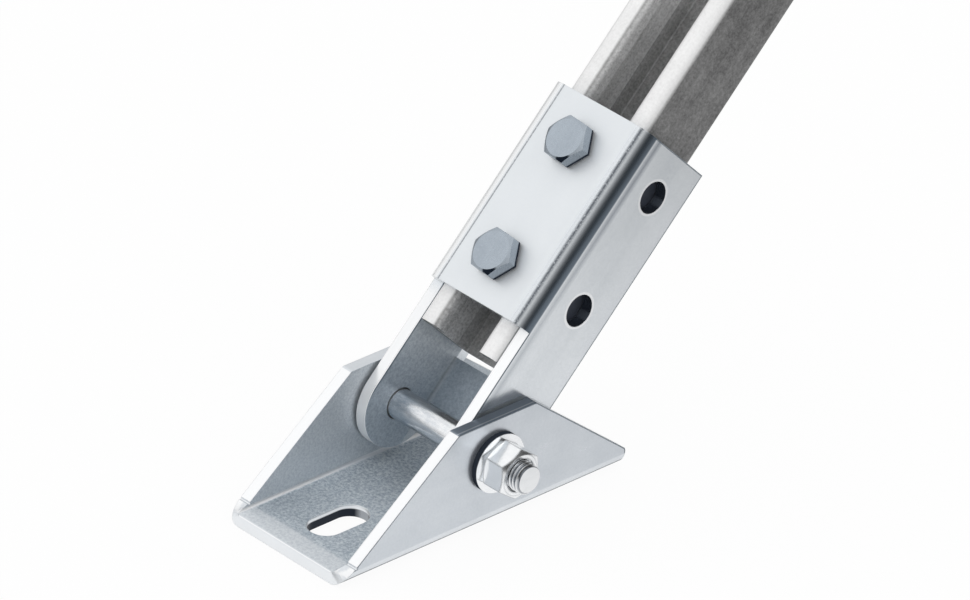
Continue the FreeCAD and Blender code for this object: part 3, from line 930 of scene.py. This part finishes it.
def head_shadows(tree, split, facing, colour):
    # Painted shadow: a dark contact line under the head, and shade on one side of the chamfer.
    seat = times(tree, ramp(tree, split["Z"], *HEAD_SEAT_TOP), ramp(tree, split["Z"], *HEAD_SEAT))
    chamfer = times(tree, ramp(tree, facing["Z"], 0.6, 0.7), ramp(tree, facing["Z"], 0.96, 0.93),
                    ramp(tree, facing["Y"], -0.28, -0.34), ramp(tree, facing["X"], 0.08, 0.12))
    return blend_colours(tree, larger(tree, seat, chamfer), colour, SEAT_SHADOW_INK), seat


def washer_rim_shade(tree, split, facing, colour):
    # The washer's rim gets painted shade, nearly black.
    rim = times(tree, ramp(tree, size_of(tree, facing["X"]), 0.6, 0.4),
                ramp(tree, split["X"], *WASHER_FACE))
    return blend_colours(tree, rim, colour, WASHER_RIM_SHADE_INK), rim


def shank_streaks(tree, split, facing, colour):
    """The turned shank between the plates is scuffed along its length."""
    place = add_node(tree, "ShaderNodeCombineXYZ", {
        "X": math_node(tree, "MULTIPLY", split["X"], 0.3), "Y": split["Y"], "Z": split["Z"]})
    scuff = add_node(tree, "ShaderNodeTexNoise", {
        "Vector": place.outputs[0], "Scale": 420.0, "Detail": 5.0, "Roughness": 0.75})
    share = times(tree, ramp(tree, scuff.outputs[0], 0.42, 0.6),
                  ramp(tree, size_of(tree, split["X"]), *BETWEEN_PLATES),
                  ramp(tree, split["X"], *SCUFF_FADE, 0.1, 0.65))
    colour = blend_colours(tree, share, colour, SCUFF_ZINC)
    off = add_node(tree, "ShaderNodeCombineXYZ", {"Y": split["Y"], "Z": split["Z"]})
    radius = add_node(tree, "ShaderNodeVectorMath", {0: off.outputs[0]}, operation="LENGTH")
    # The thread's grooves get painted shade.
    groove_shade = times(tree, ramp(tree, radius.outputs["Value"], *GROOVE_RADII),
                   ramp(tree, split["X"], *THREAD_SHOWS),
                   ramp(tree, size_of(tree, facing["X"]), 0.95, 0.85))
    return blend_colours(tree, groove_shade, colour, GROOVE_SHADE_INK), None


print("extras", [extra.__name__ for extra in (head_shadows, washer_rim_shade, shank_streaks)])

# %% Materials: screws, washer, nut and bolt
SCREW_CLOUDS = (150.0, 90.0, 1500.0)
SMALL_CLOUDS = (120.0, 80.0, 1500.0)


def zinc_material(name, tint, dark_tint, roughness, edge, grain=0.3, clouds=SMALL_CLOUDS, turned=0.0,
                  extra=None, outline=None):
    material, tree = empty_material(name)
    place, split, facing = sheet_place(tree, turned)
    colour, mixed, height = zinc_surface(tree, place, tint, dark_tint, grain, clouds)
    quiet = None
    if extra is not None:
        colour, quiet = extra(tree, split, facing, colour)
    rough = ramp(tree, mixed, 0.0, 1.0, roughness + 0.06, roughness - 0.03)
    finish_metal(tree, colour, rough, height, edge, SMOOTH, outline=outline, quiet=quiet)
    return material


SCREW_ZINC = zinc_material("screw_zinc", (0.43, 0.48, 0.535, 1), (0.345, 0.39, 0.44, 1), 0.26,
                           0.3 * MM, grain=0.6, clouds=SCREW_CLOUDS, turned=TILT, extra=head_shadows)
WASHER_ZINC = zinc_material("washer_zinc", (0.98, 0.99, 1.0, 1), (0.88, 0.90, 0.92, 1), 0.18,
                            0.25 * MM, extra=washer_rim_shade)
# The nut gets the thin dark line of painted shade along its edges.
NUT_ZINC = zinc_material("nut_zinc", (0.98, 0.99, 1.0, 1), (0.86, 0.88, 0.90, 1), 0.16,
                         0.3 * MM, outline=0.5)
BOLT_ZINC = zinc_material("bolt_zinc", (0.90, 0.91, 0.92, 1), (0.74, 0.76, 0.78, 1), 0.18,
                          0.25 * MM, extra=shank_streaks)
print("materials", SCREW_ZINC.name, WASHER_ZINC.name, NUT_ZINC.name, BOLT_ZINC.name)

# %% [markdown]
# ## Putting the finishes on
#
# The CAD pieces keep their meshes. Only the material in each slot is exchanged, as it would be by
# picking another one in the material list.

# %% Finishes on the CAD nodes
FINISHES = {
    "base_bracket": BASE_ZINC, "swivel_saddle": SADDLE_ZINC, "strut_channel": STRUT_ZINC,
    "saddle_screw_lower": SCREW_ZINC, "saddle_screw_upper": SCREW_ZINC,
    "channel_nut_lower": SCREW_ZINC, "channel_nut_upper": SCREW_ZINC,
    "pivot_washer": WASHER_ZINC, "pivot_nut": NUT_ZINC, "pivot_bolt": BOLT_ZINC,
}
for name, material in FINISHES.items():
    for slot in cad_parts[name].material_slots:
        slot.material = material
print("finished", len(FINISHES), "CAD nodes")

# %% [markdown]
# ## The pivot bolt with its thread
#
# The bolt is an M12 hexagon bolt: a plain shank between the ears, a thread of 1.75 mm pitch at
# its end, and a chamfered tip standing out of the nut. A picture of a thread on a smooth rod looks
# false against the light, so it is cut for real. One groove's outline is drawn by extruding a
# single point, and the Screw modifier winds it round the axis, climbing one pitch in each turn.
# The bolt is made standing on its head, and laid along X at the end.

# %% Sizes of the bolt
bolt_low, bolt_high = (Vector(corner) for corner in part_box("pivot_bolt"))
HEAD_HEIGHT = 7.5 * MM
ACROSS_FLATS = 18 * MM
SHANK = 6 * MM
PITCH = 1.75 * MM
GROOVE = 1.05 * MM
TIP_CHAMFER = 0.6 * MM
BOLT_LENGTH = (bolt_high.x - bolt_low.x) - HEAD_HEIGHT
THREAD_LENGTH = 27 * MM
THREAD_START = BOLT_LENGTH - THREAD_LENGTH
RUNOUT = 1.2 * MM
SIDES_OF_A_ROD = 72
STEPS_OF_A_TURN = 36
print("bolt", round(BOLT_LENGTH / MM, 2), "mm under its head")


# %% Helpers for modelling
def start_piece(name):
    piece = bpy.context.active_object
    piece.name = name
    return piece


def select_only(piece):
    bpy.ops.object.select_all(action="DESELECT")
    piece.select_set(True)
    bpy.context.view_layer.objects.active = piece


def select_where(piece, test, kind="VERT"):
    bpy.ops.object.mode_set(mode="EDIT")
    bpy.ops.mesh.select_mode(type=kind)
    bpy.ops.mesh.select_all(action="DESELECT")
    bpy.ops.object.mode_set(mode="OBJECT")
    parts = piece.data.vertices if kind == "VERT" else piece.data.polygons
    for part in parts:
        part.select = bool(test(part))
    bpy.ops.object.mode_set(mode="EDIT")


def apply_modifier(piece, kind, **settings):
    modifier = piece.modifiers.new(kind.lower(), kind)
    for name, value in settings.items():
        setattr(modifier, name, value)
    select_only(piece)
    bpy.ops.object.modifier_apply(modifier=modifier.name)


def combine(piece, other, operation):
    apply_modifier(piece, "BOOLEAN", object=other, operation=operation, solver="EXACT")
    bpy.data.objects.remove(other)


print("modelling helpers ready")


# %% Thread: one groove wound round the axis
def wound_thread(first_turn, turns):
    bpy.ops.object.select_all(action="DESELECT")
    bpy.ops.mesh.primitive_plane_add(size=MM, location=(0, 0, 0))
    thread = start_piece("thread")
    select_where(thread, lambda v: v.index != 0)
    bpy.ops.mesh.delete(type="VERT")
    bpy.ops.object.mode_set(mode="OBJECT")
    thread.data.vertices[0].co = (SHANK, 0, first_turn)
    select_where(thread, lambda v: True)
    crest = PITCH / 8
    root = PITCH / 4
    flank = (PITCH - crest - root) / 2
    for move in ((0, 0, crest), (-GROOVE, 0, flank), (0, 0, root), (GROOVE, 0, flank)):
        bpy.ops.mesh.extrude_region_move(TRANSFORM_OT_translate={"value": move})
    bpy.ops.object.mode_set(mode="OBJECT")
    apply_modifier(thread, "SCREW", axis="Z", steps=STEPS_OF_A_TURN, render_steps=STEPS_OF_A_TURN,
                   screw_offset=PITCH, iterations=turns, use_merge_vertices=True, merge_threshold=1e-6)
    return thread


thread = wound_thread(THREAD_START - 2 * PITCH, int(THREAD_LENGTH / PITCH) + 5)
print("thread faces", len(thread.data.polygons))

# %% [markdown]
# The wound ribbon is open at both ends. Bisect cuts it square and fills the cuts, which makes it
# a closed rod. The chamfered tip is what is left when that rod is intersected with a turned one.

# %% Thread: square ends and a chamfered tip
select_only(thread)
bpy.ops.object.mode_set(mode="EDIT")
bpy.ops.mesh.select_all(action="SELECT")
bpy.ops.mesh.remove_doubles(threshold=1e-6)
bpy.ops.mesh.bisect(plane_co=(0, 0, BOLT_LENGTH), plane_no=(0, 0, 1), clear_outer=True, use_fill=True)
bpy.ops.mesh.select_all(action="SELECT")
bpy.ops.mesh.bisect(plane_co=(0, 0, THREAD_START), plane_no=(0, 0, 1), clear_inner=True, use_fill=True)
bpy.ops.mesh.select_all(action="SELECT")
bpy.ops.mesh.normals_make_consistent(inside=False)
bpy.ops.object.mode_set(mode="OBJECT")

bpy.ops.object.select_all(action="DESELECT")
bpy.ops.mesh.primitive_cylinder_add(vertices=SIDES_OF_A_ROD, radius=SHANK + 0.002 * MM,
                                    depth=BOLT_LENGTH + 2 * MM,
                                    location=(0, 0, (BOLT_LENGTH - 2 * MM) / 2))
envelope = start_piece("envelope")
bpy.ops.object.transform_apply(location=True)
select_where(envelope, lambda v: v.co.z > BOLT_LENGTH - 0.1 * MM)
bpy.ops.mesh.bevel(offset=TIP_CHAMFER, segments=1, affect="EDGES")
bpy.ops.object.mode_set(mode="OBJECT")
combine(thread, envelope, "INTERSECT")
print("thread with chamfer", len(thread.data.polygons), "faces")

# %% [markdown]
# The shank is a rod with a small runout cone where the thread starts, and the head is a hexagon
# whose outer corners are turned off at thirty degrees. Both start as primitives, and are shaped by
# extruding and scaling an end. A union then makes the three parts one closed bolt.

# %% Shank and head
CORNER = ACROSS_FLATS / math.sqrt(3)
TURNED_RIM = 0.46 * ACROSS_FLATS
TURNED_HEIGHT = (CORNER - TURNED_RIM) * math.tan(math.radians(30))
HEAD_TURN = math.radians(-25)


def turned_rod(name, radius, low, high, cone, end_radius):
    bpy.ops.object.select_all(action="DESELECT")
    bpy.ops.mesh.primitive_cylinder_add(vertices=SIDES_OF_A_ROD, radius=radius, depth=high - cone - low,
                                        location=(0, 0, (high - cone + low) / 2))
    rod = start_piece(name)
    bpy.ops.object.transform_apply(location=True)
    select_where(rod, lambda f: f.normal.z > 0.9, "FACE")
    bpy.ops.mesh.extrude_region_move(TRANSFORM_OT_translate={"value": (0, 0, cone)})
    ratio = end_radius / radius
    bpy.ops.transform.resize(value=(ratio, ratio, 1))
    bpy.ops.object.mode_set(mode="OBJECT")
    return rod


shank = turned_rod("shank", SHANK, -1 * MM, THREAD_START + RUNOUT, RUNOUT, SHANK - GROOVE)
bpy.ops.object.select_all(action="DESELECT")
bpy.ops.mesh.primitive_cylinder_add(vertices=6, radius=CORNER, depth=HEAD_HEIGHT,
                                    location=(0, 0, HEAD_HEIGHT / 2))
head = start_piece("head")
bpy.ops.object.transform_apply(location=True)
limit = turned_rod("limit", CORNER + 0.01 * MM, -0.1 * MM, HEAD_HEIGHT, TURNED_HEIGHT, TURNED_RIM)
combine(head, limit, "INTERSECT")
head.rotation_euler = (math.pi, 0, HEAD_TURN)
select_only(head)
bpy.ops.object.transform_apply(rotation=True)
print("head", [round(v / MM, 2) for v in head.dimensions])

# %% One bolt, laid along X
pivot_bolt = head
pivot_bolt.name = "pivot_bolt_threaded"
combine(pivot_bolt, shank, "UNION")
combine(pivot_bolt, thread, "UNION")
under_head = Vector((bolt_low.x + HEAD_HEIGHT, 0, (bolt_low.z + bolt_high.z) / 2))
pivot_bolt.matrix_world = Matrix.Translation(under_head) @ Matrix.Rotation(math.radians(90), 4, "Y")
select_only(pivot_bolt)
bpy.ops.object.transform_apply(location=True, rotation=True, scale=True)
bpy.ops.object.shade_smooth_by_angle(angle=math.radians(28))
pivot_bolt.data.materials.clear()
pivot_bolt.data.materials.append(BOLT_ZINC)
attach(pivot_bolt, "base")
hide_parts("pivot_bolt")
print("bolt", len(pivot_bolt.data.polygons), "faces")
